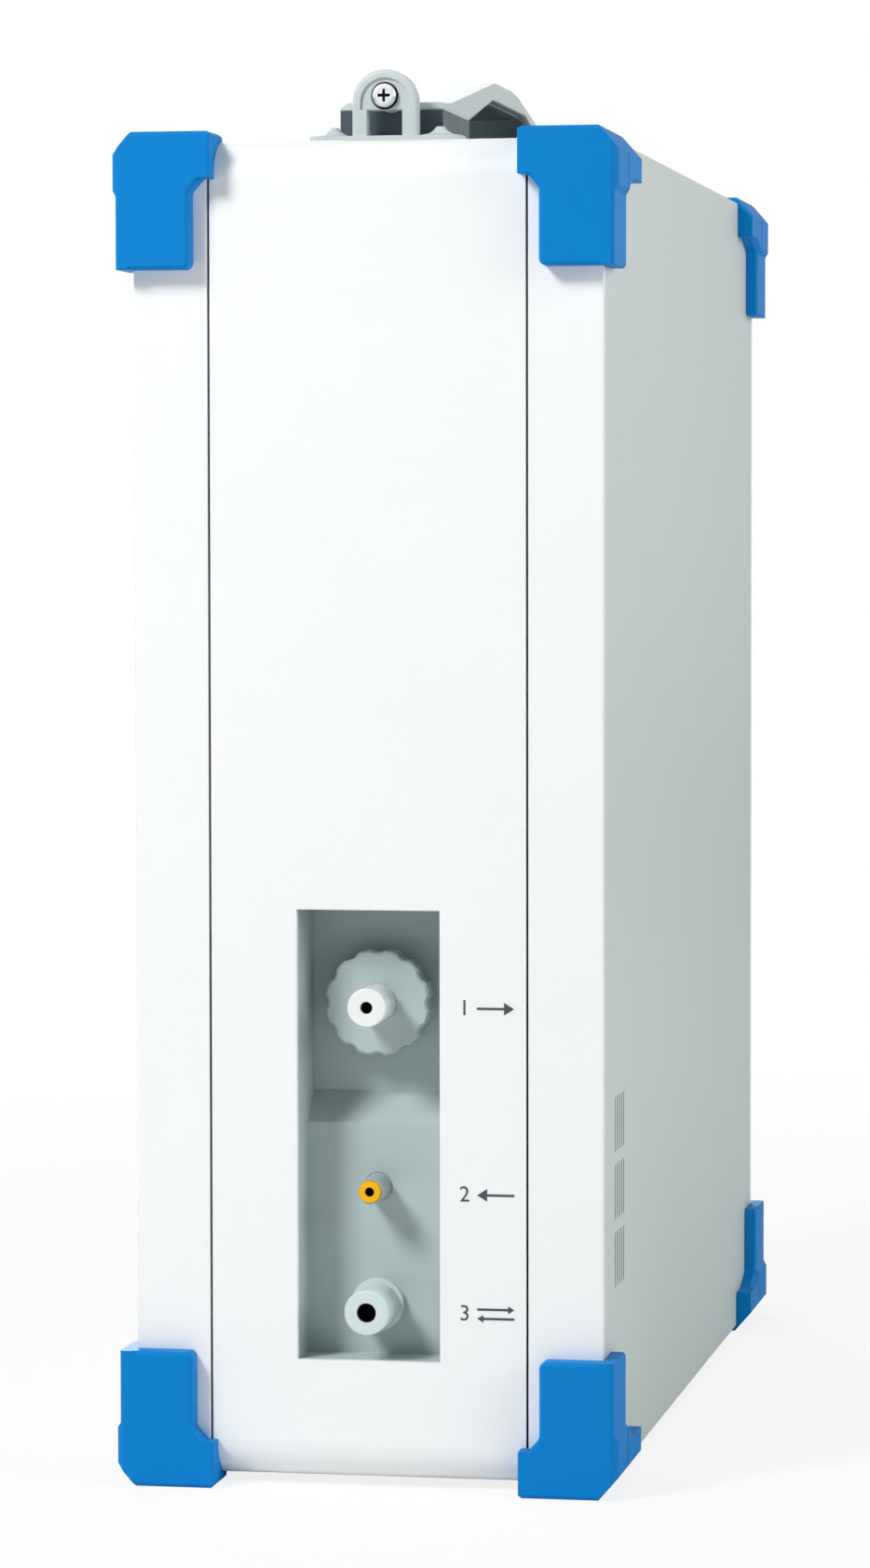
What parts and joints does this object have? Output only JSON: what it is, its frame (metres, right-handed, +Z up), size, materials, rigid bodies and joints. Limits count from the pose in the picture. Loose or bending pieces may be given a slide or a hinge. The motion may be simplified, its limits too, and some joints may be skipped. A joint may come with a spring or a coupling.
{
  "type": "portable gas chromatograph",
  "caption": "Upright portable gas chromatograph with corner guards, a carrying handle, a recessed port bay with an outlet knob, and its oven, valve, gas bottle and electronics inside.",
  "frame": {"origin": "on the floor under the middle of the case, between the feet of the lower corner guards", "axes": "+X to the right seen from the port end, -Y out of the port end, +Z up"},
  "size_m": [0.1826, 0.456, 0.5175],
  "materials": {
    "shell_white": "smooth white moulding",
    "sheet_grey": "fine satin powder coat",
    "guard_blue": "fine grained moulded elastomer",
    "bay_grey": "matt moulded plastic",
    "port_white": "smooth white plastic",
    "port_grey": "satin plastic",
    "knob_grey": "satin moulded plastic",
    "ring_yellow": "smooth yellow plastic",
    "nut_metal": "nickel plated",
    "handle_light": "satin moulded plastic",
    "handle_dark": "matt moulded plastic",
    "screw_steel": "plated steel",
    "inlet_black": "black moulding",
    "prong_metal": "plated",
    "rocker_black": "polished black moulding",
    "chassis_metal": "plain sheet",
    "oven_shell": "rigid insulating board",
    "oven_lid": "rigid insulating board",
    "column_steel": "drawn stainless tube",
    "heater_sheath": "heat tinted sheath",
    "impeller_metal": "pressed sheet",
    "motor_can": "zinc plated can",
    "valve_metal": "machined stainless steel",
    "rotor_metal": "ground stainless steel",
    "drive_black": "glass filled plastic",
    "detector_metal": "machined block",
    "bottle_metal": "enamelled pressure vessel",
    "regulator_brass": "machined brass",
    "clamp_metal": "plain",
    "pump_black": "moulded body",
    "board_green": "solder resist over glass laminate",
    "chip_black": "moulded packages",
    "supply_metal": "folded sheet",
    "fan_black": "moulded frame",
    "fan_blade": "moulded rotor",
    "line_metal": "drawn stainless tube"
  },
  "bodies": {
    "case": {"front_frame": "shell_white", "front_panel": "shell_white", "rear_frame": "shell_white", "rear_panel": "shell_white", "side_panel_right": "sheet_grey", "side_panel_left": "sheet_grey", "top_cover": "sheet_grey", "base_plate": "sheet_grey", "panel_screws": "screw_steel", "port_recess": "bay_grey", "sample_out_tube": "port_white", "sample_in_body": "port_grey", "gas_cycle_tube": "port_white", "port_nuts": "nut_metal", "handle_bracket_front": "handle_light", "handle_bracket_rear": "handle_light", "bracket_caps": "handle_light", "grip_screws": "screw_steel", "handle_grip": "handle_light", "handle_liner": "handle_dark", "power_inlet": "inlet_black", "inlet_prongs": "prong_metal", "rear_screws": "screw_steel", "power_switch": "inlet_black", "chassis_plate": "chassis_metal", "oven_body": "oven_shell", "oven_cover": "oven_lid", "column_coil": "column_steel", "oven_heater": "heater_sheath", "oven_motor": "motor_can", "valve_body": "valve_metal", "valve_actuator": "drive_black", "valve_bracket": "chassis_metal", "detector_block": "detector_metal", "gas_bottle": "bottle_metal", "gas_regulator": "regulator_brass", "bottle_clamps": "clamp_metal", "sample_pump": "pump_black", "main_board": "board_green", "board_parts": "chip_black", "board_standoffs": "screw_steel", "power_supply": "supply_metal", "fan_frame": "fan_black", "sample_lines": "line_metal", "carrier_lines": "line_metal", "guard_front_top_right": "guard_blue", "guard_front_top_left": "guard_blue", "guard_front_bottom_right": "guard_blue", "guard_front_bottom_left": "guard_blue", "guard_rear_top_right": "guard_blue", "guard_rear_top_left": "guard_blue", "guard_rear_bottom_right": "guard_blue", "guard_rear_bottom_left": "guard_blue"},
    "outlet_knob": {"sample_out_knob": "knob_grey"},
    "release_ring": {"sample_in_ring": "ring_yellow"},
    "power_rocker": {"switch_rocker": "rocker_black"},
    "oven_fan": {"oven_impeller": "impeller_metal"},
    "valve_core": {"valve_rotor": "rotor_metal"},
    "exhaust_rotor": {"fan_rotor": "fan_blade"}
  },
  "joints": [
    {"name": "outlet_knob_turn", "type": "hinge", "parent": "case", "child": "outlet_knob", "pos_m": [0, -0.1985, 0.174], "axis": [0, -1, 0], "range_deg": [0, 270]},
    {"name": "release_ring_press", "type": "slide", "parent": "case", "child": "release_ring", "axis": [0, 1, 0], "range_m": [0, 0.001], "stiffness_N_per_m": 200, "springref_m": -0.001},
    {"name": "power_rocker_tilt", "type": "hinge", "parent": "case", "child": "power_rocker", "pos_m": [0, 0.22, 0.0987], "axis": [1, 0, 0], "range_deg": [0, 16]},
    {"name": "oven_fan_spin", "type": "hinge", "parent": "case", "child": "oven_fan", "pos_m": [-0.0085, 0.093, 0.345], "axis": [1, 0, 0], "continuous": true},
    {"name": "valve_core_turn", "type": "hinge", "parent": "case", "child": "valve_core", "pos_m": [0.0237, -0.046, 0.33], "axis": [0, 1, 0], "range_deg": [0, 60]},
    {"name": "exhaust_rotor_spin", "type": "hinge", "parent": "case", "child": "exhaust_rotor", "pos_m": [0, 0.1995, 0.3027], "axis": [0, 1, 0], "continuous": true}
  ]
}
